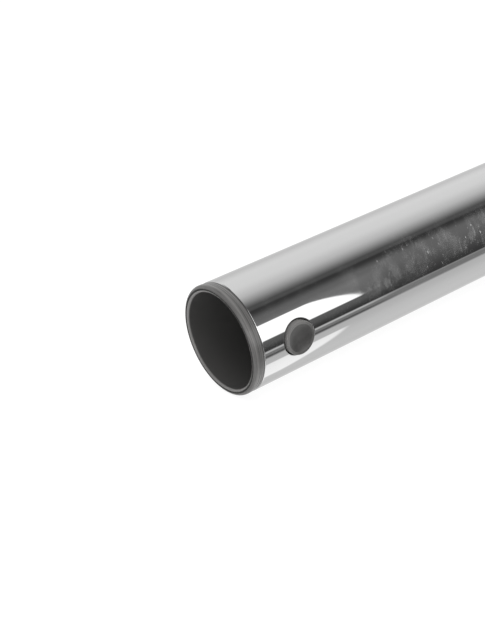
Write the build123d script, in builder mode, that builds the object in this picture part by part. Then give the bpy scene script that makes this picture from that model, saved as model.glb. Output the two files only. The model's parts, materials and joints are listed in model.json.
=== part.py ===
from build123d import *
import math
import os

# Telescopic vacuum wand, millimetres.
# +X runs along the wand from the handle end to the tool end, +Z is up, and the origin is
# the centre of the handle mouth. The wand lies on its side, so the lock button and the
# release slider face -Y. Plane.XZ looks along -Y, so its offsets are distances out from
# the wand's axis on the side of the slider.

os.makedirs("parts", exist_ok=True)

# Tubes
outer_diameter = 39.0
outer_wall = 0.8
tube_gap = 1.2
inner_wall = 0.8
spigot_step = 0.15
spigot_length = 64.0
spigot_cone = 1.5
plain_end = 92.0
tube_edge_round = 0.3
window_corner = 1.0

# Clearances
slip_gap = 0.05
running_gap = 0.3
cut_margin = 1.0

# Handle socket
flange_thickness = 4.0
flange_front_round = 1.3
flange_back_round = 0.3
flange_front_band = 2.1
flange_step = 0.15
liner_wall = 1.6
socket_depth = 42.0
lip_round = 0.9
lip_width = 1.05
lip_groove = 0.22
liner_lead = 1.0
rest_gap = 2.0

# Lock button in the handle socket
button_x = 18.5
button_diameter = 11.6
button_proud = 0.8
button_rim = 0.6
button_dish = 0.7
button_edge_round = 0.25
button_ear_reach = 1.15
button_ear_width = 6.0
leaf_thickness = 0.3
leaf_width = 5.0
leaf_length = 26.0
leaf_setback = 1.0
leaf_free_length = 15.0
leaf_stake_radius = 0.9
leaf_stake_head = 1.7
leaf_stake_height = 0.45
leaf_stake_taper = 20
leaf_end_margin = 3.0
liner_floor = 0.45

# Notches, flute and stroke
notch_pitch = 30.0
notch_count = 13
notch_radius = 2.8
pin_diameter = 5.0
pin_bite = 1.6
pin_length = 13.8
pin_spigot_diameter = 2.0
pin_chamfer = 0.3
flute_radius = 3.0
flute_depth = 0.9
flute_margin = 4.0

# Guides
bush_length = 20.0
bush_lip = 2.0
bush_lead = 0.4
seal_groove_width = 4.0
seal_groove_depth = 0.45
seal_proud = 0.15
stop_gap = 2.0
sleeve_length = 42.0
sleeve_flange = 3.0
sleeve_lead = 0.8
rib_margin = 4.0
boss_radius = 3.0
boss_reach = 1.1
boss_from_end = 36.0

# Release lock
lock_from_end = 22.0
slider_travel = 6.5
pin_lift = 1.9
lug_radius = 1.2
lug_rise = 1.6
carrier_length = 7.6
carrier_ear_wall = 1.4
carrier_ear_radius = 1.8
carrier_base = 0.5
carrier_height = 2.9
carrier_round = 0.8
cheek_wall = 1.6
cheek_foot = 1.3
cheek_overhang = 2.0
plate_thickness = 1.1
slider_front = 12.0
web_thickness = 1.5
pad_length = 32.0
pad_width = 16.0
pad_thickness = 1.3
pad_dish = 1.3
pad_corner = 3.0
pad_round = 0.6
neck_length = 14.0
neck_width = 12.0
grip_length = 27.0
grip_width = 11.5
grip_thickness = 0.7
grip_corner = 2.0
grip_round = 0.3
rib_radius = 0.5
rib_count = 6
rib_spacing = 3.6

# Return springs of the slider
spring_radius = 1.8
spring_wire = 0.25
spring_turns = 7
spring_spread = 5.5
spring_clear = 0.5
spring_length = 15.0
peg_radius = 1.2
peg_length = 3.0

# Collar. A rise is how far a surface stands out from the outer tube.
collar_wall_gap = 0.15
collar_rise = 3.5
collar_end_rise = 1.5
collar_flat_rise = 2.3
shoulder_radius = 6.0
shoulder_rise = 2.5
shoulder_spread = 9.0
end_shoulder_radius = 5.0
end_shoulder_spread = 4.0
end_flat_rise = 0.1
collar_rear_run = 23.0
collar_front_run = 8.0
collar_steps = 5
rear_shelf = 13.5
front_shelf = 8.0
parting_rise = 1.0
cover_thickness = 1.5
cover_joint = 0.1
cover_edge = 0.35
groove_count = 7
groove_pitch = 5.0
groove_length = 12.0
groove_width = 2.0
groove_depth = 0.6
nose_bore_rise = 1.1
nose_length = 8.0
nose_spigot = 11.0
nose_tip_wall = 2.0
nose_round = 0.8
wiper_width = 6.0
tail_length = 3.5
tail_spigot = 4.0
tail_wall = 0.65
tail_drop = 0.8
tail_round = 0.5
screw_radius = 1.0
screw_head_radius = 2.1
screw_head_depth = 1.2
screw_length = 6.0

# Radii from the axis, and places along it
outer_radius = outer_diameter / 2
outer_bore = outer_radius - outer_wall
inner_radius = outer_bore - tube_gap
inner_bore = inner_radius - inner_wall
spigot_radius = inner_radius - spigot_step
bore_radius = outer_bore - liner_wall
liner_radius = outer_bore - slip_gap
liner_end = flange_thickness + socket_depth

stroke = notch_pitch * (notch_count - 1)
bush_start = liner_end + rest_gap
inner_start = bush_start + bush_lip
bush_end = inner_start + bush_length
sleeve_start = bush_end + stroke + stop_gap
outer_end = sleeve_start + sleeve_length
lock_x = outer_end - lock_from_end
boss_x = outer_end - boss_from_end

button_radius = button_diameter / 2
button_hole = button_radius + running_gap
button_well = button_radius + button_ear_reach + running_gap
leaf_floor = bore_radius + liner_floor
button_seat = leaf_floor + leaf_thickness + 2 * slip_gap
button_top = outer_radius + button_proud
leaf_start = button_x - button_radius + leaf_setback
leaf_end = leaf_start + leaf_length
stake_x = leaf_end - leaf_end_margin

pin_radius = pin_diameter / 2
pin_out = inner_radius - pin_bite + pin_radius
flute_out = inner_radius - flute_depth + flute_radius
flute_start = bush_end + flute_margin
flute_end = outer_end + flute_margin
sleeve_run = inner_radius + running_gap
sleeve_radius = outer_bore - slip_gap
bush_radius = outer_bore - running_gap

carrier_half = pin_length / 2 + slip_gap + carrier_ear_wall
window_half = carrier_half + running_gap
carrier_bottom = outer_radius + carrier_base
carrier_top = carrier_bottom + carrier_height
lug_y = carrier_bottom + lug_rise
cheek_inner = carrier_half + running_gap
cheek_outer = cheek_inner + cheek_wall
slot_half = lug_radius + running_gap
cheek_bottom = lug_y - slot_half - cheek_foot
plate_bottom = carrier_top + pin_lift + running_gap
plate_top = plate_bottom + plate_thickness
slider_rear_x = lock_x - slider_travel - slot_half - cheek_overhang
slider_front_x = lock_x + slider_front

well_half = cheek_outer + running_gap
well_start = slider_rear_x - running_gap
well_end = slider_front_x + spring_length
cover_start = well_start - rear_shelf
cover_end = well_end + front_shelf
collar_start = cover_start - collar_rear_run
collar_end = cover_end + collar_front_run
collar_radius = outer_radius + collar_rise
collar_end_radius = outer_radius + collar_end_rise
collar_flat = outer_radius + collar_flat_rise
shoulder_out = outer_radius + shoulder_rise
end_shoulder_out = collar_end_radius + end_flat_rise - end_shoulder_radius
parting_out = outer_radius + parting_rise
nose_bore_radius = outer_radius + nose_bore_rise
crown = shoulder_out + shoulder_radius
nose_end = collar_end + nose_length
inner_end = nose_end + plain_end
collar_bore = outer_radius + collar_wall_gap
seat_x = outer_end + sleeve_flange + running_gap
spring_out = plate_bottom - spring_radius - spring_wire - spring_clear
pad_bottom = crown + running_gap
pad_top = pad_bottom + pad_thickness
pad_lip = pad_top + pad_dish
screw_places = (cover_start + rear_shelf / 2, cover_end - front_shelf / 2)


# Outer tube: chromed steel, with the button hole, the lock window and the boss holes
with BuildPart() as outer_tube:
    with BuildSketch(Plane.YZ.offset(flange_thickness)):
        Circle(outer_radius)
        Circle(outer_bore, mode=Mode.SUBTRACT)
    extrude(amount=outer_end - flange_thickness)
    rims = outer_tube.edges().filter_by(GeomType.CIRCLE).group_by(SortBy.RADIUS)[-1]
    fillet(rims, tube_edge_round)
    with BuildSketch(Plane.XZ):
        with Locations((button_x, 0)):
            Circle(button_hole)
        with Locations((lock_x, 0)):
            RectangleRounded(pin_diameter + 2 * running_gap, 2 * window_half, window_corner)
    extrude(amount=outer_radius + cut_margin, mode=Mode.SUBTRACT)
    with BuildSketch(Plane.XY):
        with Locations((boss_x, 0)):
            Circle(boss_radius + slip_gap)
    extrude(amount=outer_radius + cut_margin, both=True, mode=Mode.SUBTRACT)
outer_tube.part.label = "outer_tube"
export_step(outer_tube.part, "parts/outer_tube.step")


# Socket liner: flanged plastic bush, staked spring groove and the button's well
with BuildPart() as socket_liner:
    with BuildSketch() as liner_profile:
        with BuildLine():
            Polyline(
                (0, bore_radius),
                (0, outer_radius),
                (flange_front_band, outer_radius),
                (flange_front_band, outer_radius - flange_step),
                (flange_thickness, outer_radius - flange_step),
                (flange_thickness, liner_radius),
                (liner_end - liner_lead, liner_radius),
                (liner_end, liner_radius - liner_lead / 2),
                (liner_end, bore_radius),
                close=True,
            )
        make_face()
        front = liner_profile.vertices().group_by(Axis.X)[0].sort_by(Axis.Y)
        fillet(front[0], lip_round)
        front = liner_profile.vertices().group_by(Axis.X)[0].sort_by(Axis.Y)
        fillet(front[-1], flange_front_round)
        back = liner_profile.vertices().filter_by_position(
            Axis.X, flange_thickness - slip_gap, flange_thickness + slip_gap
        )
        fillet(back.sort_by(Axis.Y)[-1], flange_back_round)
        with Locations((0, bore_radius + lip_width)):
            Circle(lip_groove, mode=Mode.SUBTRACT)
    revolve(axis=Axis.X)
    with BuildSketch(Plane.XZ.offset(inner_radius / 2)):
        with Locations((button_x, 0)):
            Circle(button_well)
        with Locations((button_x, 0)):
            with Locations((leaf_free_length / 2, 0)):
                Rectangle(leaf_free_length, leaf_width + 2 * running_gap)
    extrude(amount=inner_radius, mode=Mode.SUBTRACT)
    with BuildSketch(Plane.XZ.offset(leaf_floor)):
        with Locations(((button_x + leaf_end + running_gap) / 2, 0)):
            Rectangle(leaf_end + running_gap - button_x, leaf_width + 2 * running_gap)
    extrude(amount=inner_radius / 2, mode=Mode.SUBTRACT)
    with BuildSketch(Plane.XZ.offset(leaf_floor)):
        with Locations((stake_x, 0)):
            Circle(leaf_stake_radius)
    extrude(amount=leaf_thickness + 2 * slip_gap)
    with BuildSketch(Plane.XZ.offset(leaf_floor + leaf_thickness + 2 * slip_gap)):
        with Locations((stake_x, 0)):
            Circle(leaf_stake_head)
    extrude(amount=leaf_stake_height, taper=leaf_stake_taper)
socket_liner.part.label = "socket_liner"
export_step(socket_liner.part, "parts/socket_liner.step")


# Lock button: dished head, with two ears that catch under the edge of the tube's hole
with BuildPart() as lock_button:
    with BuildSketch(Plane.XZ.offset(button_seat)):
        with Locations((button_x, 0)):
            Circle(button_radius + button_ear_reach)
            Rectangle(outer_diameter, button_ear_width, mode=Mode.INTERSECT)
    extrude(amount=outer_wall + cut_margin)
    Cylinder(outer_bore - slip_gap, 2 * liner_end, rotation=(0, 90, 0), mode=Mode.INTERSECT)
    with BuildSketch() as head_profile:
        with BuildLine():
            rim_x = button_x + button_radius - button_rim
            Polyline(
                (button_x, -button_top + button_dish),
                (button_x, -button_seat),
                (button_x + button_radius, -button_seat),
                (button_x + button_radius, -button_top),
                (rim_x, -button_top),
            )
            TangentArc(
                (button_x, -button_top + button_dish), (rim_x, -button_top), tangent=(1, 0)
            )
        make_face()
        corner = head_profile.vertices().group_by(Axis.Y)[0].sort_by(Axis.X)[-1]
        fillet(corner, button_edge_round)
    revolve(axis=Axis((button_x, 0, 0), (0, 1, 0)))
lock_button.part.label = "lock_button"
export_step(lock_button.part, "parts/lock_button.step")


# Button spring: a steel leaf, held by the liner's stake and lying under the button
with BuildPart() as button_spring:
    with BuildSketch(Plane.XZ.offset(leaf_floor + slip_gap)):
        with Locations(((leaf_start + leaf_end) / 2, 0)):
            RectangleRounded(leaf_length, leaf_width, leaf_width / 4)
        with Locations((stake_x, 0)):
            Circle(leaf_stake_radius + slip_gap, mode=Mode.SUBTRACT)
    extrude(amount=leaf_thickness)
button_spring.part.label = "button_spring"
export_step(button_spring.part, "parts/button_spring.step")


# Inner tube: thin steel, with a row of pressed lock notches and a lengthwise flute.
# Its bore is made first, with the backs of the pressings standing into it.
notch_places = [(lock_x - notch * notch_pitch, -pin_out) for notch in range(notch_count)]

with BuildPart() as inner_passage:
    with BuildSketch() as passage_profile:
        with BuildLine():
            Polyline(
                (inner_start - cut_margin, 0),
                (inner_start - cut_margin, inner_bore),
                (inner_end - spigot_length - spigot_cone, inner_bore),
                (inner_end - spigot_length, spigot_radius - inner_wall),
                (inner_end + cut_margin, spigot_radius - inner_wall),
                (inner_end + cut_margin, 0),
                close=True,
            )
        make_face()
    revolve(axis=Axis.X)
    with BuildSketch(Plane.XY):
        with Locations(*notch_places):
            Circle(notch_radius + inner_wall)
    extrude(amount=inner_radius, both=True, mode=Mode.SUBTRACT)
    with BuildSketch(Plane.YZ.offset(flute_start)):
        with Locations((flute_out, 0)):
            Circle(flute_radius + inner_wall)
    extrude(amount=flute_end - flute_start, mode=Mode.SUBTRACT)
    with Locations((flute_start, flute_out, 0), (flute_end, flute_out, 0)):
        Sphere(flute_radius + inner_wall, mode=Mode.SUBTRACT)

with BuildPart() as inner_tube:
    with BuildSketch() as tube_profile:
        with BuildLine():
            Polyline(
                (inner_start, 0),
                (inner_start, inner_radius),
                (inner_end - spigot_length - spigot_cone, inner_radius),
                (inner_end - spigot_length, spigot_radius),
                (inner_end, spigot_radius),
                (inner_end, 0),
                close=True,
            )
        make_face()
        tip = tube_profile.vertices().group_by(Axis.X)[-1].sort_by(Axis.Y)[-1]
        fillet(tip, tube_edge_round)
    revolve(axis=Axis.X)
    add(inner_passage.part, mode=Mode.SUBTRACT)
    with BuildSketch(Plane.XY):
        with Locations(*notch_places):
            Circle(notch_radius)
    extrude(amount=inner_radius, both=True, mode=Mode.SUBTRACT)
    with BuildSketch(Plane.YZ.offset(flute_start)):
        with Locations((flute_out, 0)):
            Circle(flute_radius)
    extrude(amount=flute_end - flute_start, mode=Mode.SUBTRACT)
    with Locations((flute_start, flute_out, 0), (flute_end, flute_out, 0)):
        Sphere(flute_radius, mode=Mode.SUBTRACT)
inner_tube.part.label = "inner_tube"
export_step(inner_tube.part, "parts/inner_tube.step")


# Piston bush: caps the inner tube's hidden end and runs in the outer tube
seal_start = (bush_start + bush_end - seal_groove_width) / 2
seal_seat = bush_radius - seal_groove_depth

with BuildPart() as piston_bush:
    with BuildSketch() as bush_profile:
        with BuildLine():
            Polyline(
                (bush_start, inner_bore),
                (bush_start, bush_radius),
                (bush_end, bush_radius),
                (bush_end, inner_radius + slip_gap),
                (inner_start, inner_radius + slip_gap),
                (inner_start, inner_bore),
                close=True,
            )
        make_face()
        entry = bush_profile.vertices().group_by(Axis.X)[0]
        chamfer(entry, bush_lead)
        with Locations((seal_start + seal_groove_width / 2, bush_radius)):
            Rectangle(seal_groove_width, 2 * seal_groove_depth, mode=Mode.SUBTRACT)
    revolve(axis=Axis.X)
piston_bush.part.label = "piston_bush"
export_step(piston_bush.part, "parts/piston_bush.step")


# Piston seal: felt ring in the bush's groove
with BuildPart() as piston_seal:
    with BuildSketch():
        with Locations((seal_start + seal_groove_width / 2, seal_seat + slip_gap)):
            Rectangle(
                seal_groove_width - 2 * slip_gap,
                seal_groove_depth + seal_proud - slip_gap,
                align=(Align.CENTER, Align.MIN),
            )
    revolve(axis=Axis.X)
piston_seal.part.label = "piston_seal"
export_step(piston_seal.part, "parts/piston_seal.step")


# Guide sleeve: lines the outer tube's end, keys the inner tube and anchors the collar
with BuildPart() as guide_sleeve:
    with BuildSketch() as sleeve_profile:
        with BuildLine():
            Polyline(
                (sleeve_start, sleeve_run),
                (sleeve_start, sleeve_radius),
                (outer_end, sleeve_radius),
                (outer_end, outer_radius),
                (outer_end + sleeve_flange, outer_radius),
                (outer_end + sleeve_flange, sleeve_run),
                close=True,
            )
        make_face()
        mouth = sleeve_profile.vertices().group_by(Axis.X)[-1].sort_by(Axis.Y)[-1]
        chamfer(mouth, sleeve_lead)
    revolve(axis=Axis.X)
    with BuildSketch(Plane.YZ.offset(sleeve_start + rib_margin)):
        with Locations((flute_out, 0)):
            Circle(flute_radius - running_gap)
        Circle(sleeve_run + slip_gap, mode=Mode.INTERSECT)
    extrude(amount=sleeve_length - 2 * rib_margin)
    with BuildSketch(Plane.XY.offset(sleeve_run + slip_gap)):
        with Locations((boss_x, 0)):
            Circle(boss_radius)
    extrude(amount=outer_radius + boss_reach - sleeve_run - slip_gap)
    with BuildSketch(Plane.XY.offset(-sleeve_run - slip_gap)):
        with Locations((boss_x, 0)):
            Circle(boss_radius)
    extrude(amount=-(outer_radius + boss_reach - sleeve_run - slip_gap))
    with BuildSketch(Plane.XZ):
        with Locations((lock_x, 0)):
            Rectangle(pin_diameter + 2 * running_gap, 2 * window_half)
    extrude(amount=outer_radius, mode=Mode.SUBTRACT)
guide_sleeve.part.label = "guide_sleeve"
export_step(guide_sleeve.part, "parts/guide_sleeve.step")


def collar_section(x, rise, inset=0.0):
    """The collar's cross-section at x. rise goes from 0 at an end to 1 at full height."""
    barrel = collar_end_radius + (collar_radius - collar_end_radius) * rise
    corner = end_shoulder_radius + (shoulder_radius - end_shoulder_radius) * rise
    out = end_shoulder_out + (shoulder_out - end_shoulder_out) * rise
    spread = end_shoulder_spread + (shoulder_spread - end_shoulder_spread) * rise
    with BuildSketch(Plane.YZ.offset(x)) as section:
        Circle(barrel - inset)
        with Locations((-out, spread), (-out, -spread)):
            Circle(corner - inset)
        make_hull()
    return section.sketch


def eased(share):
    """A smooth step from 0 to 1."""
    return (1 - math.cos(math.pi * share)) / 2


def collar_run(end, full):
    """The sections of one sloping run of the collar, from its end to its full height."""
    shares = [step / collar_steps for step in range(collar_steps + 1)]
    return [collar_section(end + (full - end) * share, eased(share)) for share in shares]


# Collar body: moulded grip round the end of the outer tube, open on top for the lock
shelf_top = crown - cover_thickness - running_gap

with BuildPart() as collar_body:
    loft(sections=collar_run(collar_start, cover_start))
    extrude(collar_section(cover_start, 1), amount=cover_end - cover_start)
    loft(sections=collar_run(collar_end, cover_end))
    with BuildSketch(Plane.XY):
        with Locations(((collar_start + collar_end) / 2, 0)):
            Rectangle(2 * (collar_end - collar_start), 4 * collar_radius)
    extrude(amount=collar_flat, both=True, mode=Mode.INTERSECT)
    with BuildSketch(Plane.XZ.offset(parting_out)):
        with Locations(((cover_start + cover_end) / 2, 0)):
            Rectangle(cover_end - cover_start, 2 * collar_radius)
    extrude(amount=collar_radius, mode=Mode.SUBTRACT)
    with BuildSketch(Plane.XZ.offset(parting_out)):
        for shelf_start, shelf_end in (
            (cover_start + running_gap, well_start),
            (well_end, cover_end - running_gap),
        ):
            with Locations(((shelf_start + shelf_end) / 2, 0)):
                Rectangle(shelf_end - shelf_start, 2 * shoulder_spread)
    extrude(amount=shelf_top - parting_out)
    with BuildSketch(Plane.YZ.offset(collar_start)):
        Circle(collar_bore)
    extrude(amount=collar_end - collar_start, mode=Mode.SUBTRACT)
    with BuildSketch(Plane.YZ.offset(seat_x)):
        Circle(nose_bore_radius)
    extrude(amount=collar_end - seat_x, mode=Mode.SUBTRACT)
    with BuildSketch(Plane.YZ.offset(collar_start)):
        Circle(collar_bore + tail_wall)
    extrude(amount=tail_spigot + running_gap, mode=Mode.SUBTRACT)
    with BuildSketch(Plane.XZ.offset(collar_bore / 2)):
        with Locations(((well_start + well_end) / 2, 0)):
            Rectangle(well_end - well_start, 2 * well_half)
    extrude(amount=collar_radius, mode=Mode.SUBTRACT)
    with BuildSketch(Plane.XY):
        with Locations((boss_x, 0)):
            Circle(boss_radius + slip_gap)
    extrude(amount=outer_radius + boss_reach + slip_gap, both=True, mode=Mode.SUBTRACT)
    with BuildSketch(Plane.XZ.offset(crown - screw_length)):
        with Locations(*[(x, 0) for x in screw_places]):
            Circle(screw_radius + slip_gap)
    extrude(amount=screw_length, mode=Mode.SUBTRACT)
    with BuildSketch(Plane.YZ.offset(well_end)):
        with Locations((-spring_out, spring_spread), (-spring_out, -spring_spread)):
            Circle(peg_radius)
    extrude(amount=-peg_length)
    for side in (1, -1):
        with BuildSketch(Plane.XY.offset(side * (collar_flat - groove_depth))):
            with Locations(((cover_start + cover_end) / 2, 0)):
                with GridLocations(groove_pitch, 1, groove_count, 1):
                    SlotOverall(groove_length, groove_width, rotation=90)
        extrude(amount=side * (groove_depth + cut_margin), mode=Mode.SUBTRACT)
collar_body.part.label = "collar_body"
export_step(collar_body.part, "parts/collar_body.step")


# Collar cover: thin lid over the lock, with the slider's opening and two screw seats
opening_start = lock_x - neck_length / 2 - running_gap
opening_end = lock_x + neck_length / 2 + slider_travel + running_gap
cover_length = cover_end - cover_start - 2 * cover_joint

with BuildPart() as collar_cover:
    extrude(collar_section(cover_start + cover_joint, 1), amount=cover_length)
    extrude(
        collar_section(cover_start + cover_joint, 1, cover_thickness),
        amount=cover_length,
        mode=Mode.SUBTRACT,
    )
    with BuildSketch(Plane.XZ.offset(parting_out + cover_joint)):
        with Locations(((cover_start + cover_end) / 2, 0)):
            Rectangle(2 * cover_length, 4 * collar_radius)
    extrude(amount=collar_radius, mode=Mode.INTERSECT)
    with BuildSketch(Plane.XZ.offset(parting_out)):
        with Locations(((opening_start + opening_end) / 2, 0)):
            RectangleRounded(
                opening_end - opening_start, neck_width + 2 * running_gap, neck_width / 6
            )
    extrude(amount=collar_radius, mode=Mode.SUBTRACT)
    rim = collar_cover.edges().group_by(Axis.Y)[0]
    rim = rim.filter_by_position(Axis.X, opening_start - slip_gap, opening_end + slip_gap)
    fillet(rim.filter_by_position(Axis.Z, -neck_width, neck_width), cover_edge)
    for end in (0, -1):
        lid_end = collar_cover.faces().filter_by(Plane.YZ).sort_by(Axis.X)[end]
        outline = collar_section(lid_end.center().X, 1).wire()
        outer = [edge for edge in lid_end.edges() if outline.distance_to(edge @ 0.5) < slip_gap]
        chamfer(outer, cover_edge)
    with Locations(*[Location((x, -crown, 0), (90, 0, 0)) for x in screw_places]):
        CounterSinkHole(screw_radius + slip_gap, screw_head_radius + slip_gap, depth=screw_length)
collar_cover.part.label = "collar_cover"
export_step(collar_cover.part, "parts/collar_cover.step")


# Cover screws: two countersunk screws that hold the lid
with BuildPart() as cover_screws:
    for x in screw_places:
        with BuildSketch() as screw_profile:
            with BuildLine():
                Polyline(
                    (x, -crown),
                    (x + screw_head_radius, -crown),
                    (x + screw_radius, -crown + screw_head_depth),
                    (x + screw_radius, -crown + screw_length - screw_radius),
                    (x, -crown + screw_length - slip_gap),
                    close=True,
                )
            make_face()
        revolve(axis=Axis((x, 0, 0), (0, 1, 0)))
cover_screws.part.label = "cover_screws"
export_step(cover_screws.part, "parts/cover_screws.step")


# Tail ring: soft ring that closes the collar round the outer tube
with BuildPart() as tail_ring:
    with BuildSketch() as tail_profile:
        with BuildLine():
            Polyline(
                (collar_start - tail_length, outer_radius + slip_gap),
                (collar_start - tail_length, collar_end_radius - tail_drop),
                (collar_start, collar_end_radius - slip_gap),
                (collar_start, collar_bore + tail_wall - slip_gap),
                (collar_start + tail_spigot, collar_bore + tail_wall - slip_gap),
                (collar_start + tail_spigot, outer_radius + slip_gap),
                close=True,
            )
        make_face()
        edge = tail_profile.vertices().group_by(Axis.X)[0].sort_by(Axis.Y)[-1]
        fillet(edge, tail_round)
    revolve(axis=Axis.X)
tail_ring.part.label = "tail_ring"
export_step(tail_ring.part, "parts/tail_ring.step")


# Wiper seal: felt ring that wipes the inner tube as it slides
with BuildPart() as wiper_seal:
    with BuildSketch(Plane.YZ.offset(seat_x + slip_gap)):
        Circle(nose_bore_radius - slip_gap)
        Circle(inner_radius + running_gap / 2, mode=Mode.SUBTRACT)
    extrude(amount=wiper_width)
wiper_seal.part.label = "wiper_seal"
export_step(wiper_seal.part, "parts/wiper_seal.step")


# Nose ring: tapered ring pushed into the collar's front
with BuildPart() as nose_ring:
    with BuildSketch() as nose_profile:
        with BuildLine():
            Polyline(
                (collar_end - nose_spigot, sleeve_run),
                (collar_end - nose_spigot, nose_bore_radius - slip_gap),
                (collar_end, nose_bore_radius - slip_gap),
                (collar_end, collar_end_radius),
                (nose_end, sleeve_run + nose_tip_wall),
                (nose_end, sleeve_run),
                close=True,
            )
        make_face()
        tip = nose_profile.vertices().group_by(Axis.X)[-1].sort_by(Axis.Y)[-1]
        fillet(tip, nose_round)
    revolve(axis=Axis.X)
nose_ring.part.label = "nose_ring"
export_step(nose_ring.part, "parts/nose_ring.step")


# Lock carrier: holds the lock pin and is lifted by its two lugs
with BuildPart() as lock_carrier:
    with BuildSketch(Plane.XZ.offset(carrier_bottom)):
        with Locations((lock_x, 0)):
            Rectangle(carrier_length, 2 * carrier_half)
    extrude(amount=carrier_height)
    fillet(lock_carrier.edges().filter_by(Axis.Y), carrier_round)
    for side in (1, -1):
        with BuildSketch(Plane.XY.offset(side * (carrier_half - carrier_ear_wall))):
            with Locations((lock_x, -pin_out)):
                Circle(carrier_ear_radius)
                Rectangle(
                    2 * carrier_ear_radius,
                    carrier_bottom - pin_out + slip_gap,
                    align=(Align.CENTER, Align.MAX),
                )
        extrude(amount=side * carrier_ear_wall)
        with BuildSketch(Plane.XY.offset(side * carrier_half)):
            with Locations((lock_x, -lug_y)):
                Circle(lug_radius)
        extrude(amount=side * (cheek_wall + running_gap - 2 * slip_gap))
    with BuildSketch(Plane.XY):
        with Locations((lock_x, -pin_out)):
            Circle(pin_radius + slip_gap)
    extrude(amount=pin_length / 2 + slip_gap, both=True, mode=Mode.SUBTRACT)
    with BuildSketch(Plane.XY):
        with Locations((lock_x, -pin_out)):
            Circle(pin_spigot_diameter / 2 + slip_gap)
    extrude(amount=carrier_half, both=True, mode=Mode.SUBTRACT)
lock_carrier.part.label = "lock_carrier"
export_step(lock_carrier.part, "parts/lock_carrier.step")


# Lock pin: hardened cross pin that drops into a notch of the inner tube
with BuildPart() as lock_pin:
    with BuildSketch(Plane.XY):
        with Locations((lock_x, -pin_out)):
            Circle(pin_radius)
    extrude(amount=pin_length / 2, both=True)
    chamfer(lock_pin.edges().filter_by(GeomType.CIRCLE), pin_chamfer)
    with BuildSketch(Plane.XY):
        with Locations((lock_x, -pin_out)):
            Circle(pin_spigot_diameter / 2)
    extrude(amount=carrier_half - slip_gap, both=True)
lock_pin.part.label = "lock_pin"
export_step(lock_pin.part, "parts/lock_pin.step")


# Thumb plate of the release slider: dished along its length, with rounded corners
pad_middle = (opening_start + opening_end) / 2
pad_half = pad_length / 2
dish_radius = (pad_half**2 + pad_dish**2) / (2 * pad_dish)


def dished(x):
    """How far out the plate's dished face lies at x from its middle."""
    return pad_top + dish_radius - math.sqrt(dish_radius**2 - x**2)


with BuildPart() as thumb_plate:
    with BuildSketch():
        with BuildLine():
            Polyline(
                (pad_middle - pad_half, -pad_lip),
                (pad_middle - pad_half, -pad_bottom),
                (pad_middle + pad_half, -pad_bottom),
                (pad_middle + pad_half, -pad_lip),
            )
            ThreePointArc(
                (pad_middle - pad_half, -pad_lip),
                (pad_middle, -pad_top),
                (pad_middle + pad_half, -pad_lip),
            )
        make_face()
    extrude(amount=pad_width / 2, both=True)
    with BuildSketch(Plane.XZ.offset(pad_bottom)):
        with Locations((pad_middle, 0)):
            RectangleRounded(pad_length, pad_width, pad_corner)
    extrude(amount=pad_lip - pad_bottom, mode=Mode.INTERSECT)
    dish = thumb_plate.faces().filter_by(GeomType.CYLINDER).sort_by(SortBy.AREA)[-1]
    fillet(dish.edges(), pad_round)


# Release slider: two cheeks with inclined slots, a plate over them and the thumb plate.
# Moving it towards the tool end lifts the carrier's lugs up the slots.
slot_run = math.hypot(slider_travel, pin_lift)
slot_slope = math.degrees(math.atan2(pin_lift, slider_travel))
slider_mid = (slider_rear_x + slider_front_x) / 2
slider_length = slider_front_x - slider_rear_x

with BuildPart() as release_slider:
    for side in (1, -1):
        with BuildSketch(Plane.XY.offset(side * cheek_inner)):
            with Locations((slider_mid, -cheek_bottom)):
                Rectangle(
                    slider_length,
                    plate_bottom - cheek_bottom + slip_gap,
                    align=(Align.CENTER, Align.MAX),
                )
            with Locations((lock_x - slider_travel / 2, -lug_y - pin_lift / 2)):
                SlotCenterToCenter(
                    slot_run, 2 * slot_half, rotation=slot_slope, mode=Mode.SUBTRACT
                )
        extrude(amount=side * cheek_wall)
    with BuildSketch(Plane.YZ.offset(slider_front_x - web_thickness)):
        with Locations((-plate_bottom - slip_gap, 0)):
            Rectangle(
                plate_bottom - outer_radius - cheek_foot,
                2 * cheek_inner + slip_gap,
                align=(Align.MIN, Align.CENTER),
            )
    extrude(amount=web_thickness)
    with BuildSketch(Plane.YZ.offset(slider_front_x)):
        with Locations((-spring_out, spring_spread), (-spring_out, -spring_spread)):
            Circle(peg_radius)
    extrude(amount=peg_length)
    with BuildSketch(Plane.YZ.offset(slider_rear_x)) as plate_section:
        with Locations((-plate_top, 0)):
            Rectangle(plate_thickness, 2 * cheek_outer, align=(Align.MIN, Align.CENTER))
        chamfer(plate_section.vertices().group_by(Axis.X)[0], plate_thickness - 2 * slip_gap)
    extrude(amount=slider_length)
    with BuildSketch(Plane.XZ.offset(plate_top)):
        with Locations((lock_x, 0)):
            RectangleRounded(neck_length, neck_width, neck_width / 6)
    extrude(amount=pad_bottom - plate_top)
    add(thumb_plate.part)
release_slider.part.label = "release_slider"
export_step(release_slider.part, "parts/release_slider.step")


# Thumb pad: soft grip with cross ribs, laid into the plate's dish
grip_half = grip_length / 2
rib_half = (rib_count - 1) / 2

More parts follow.
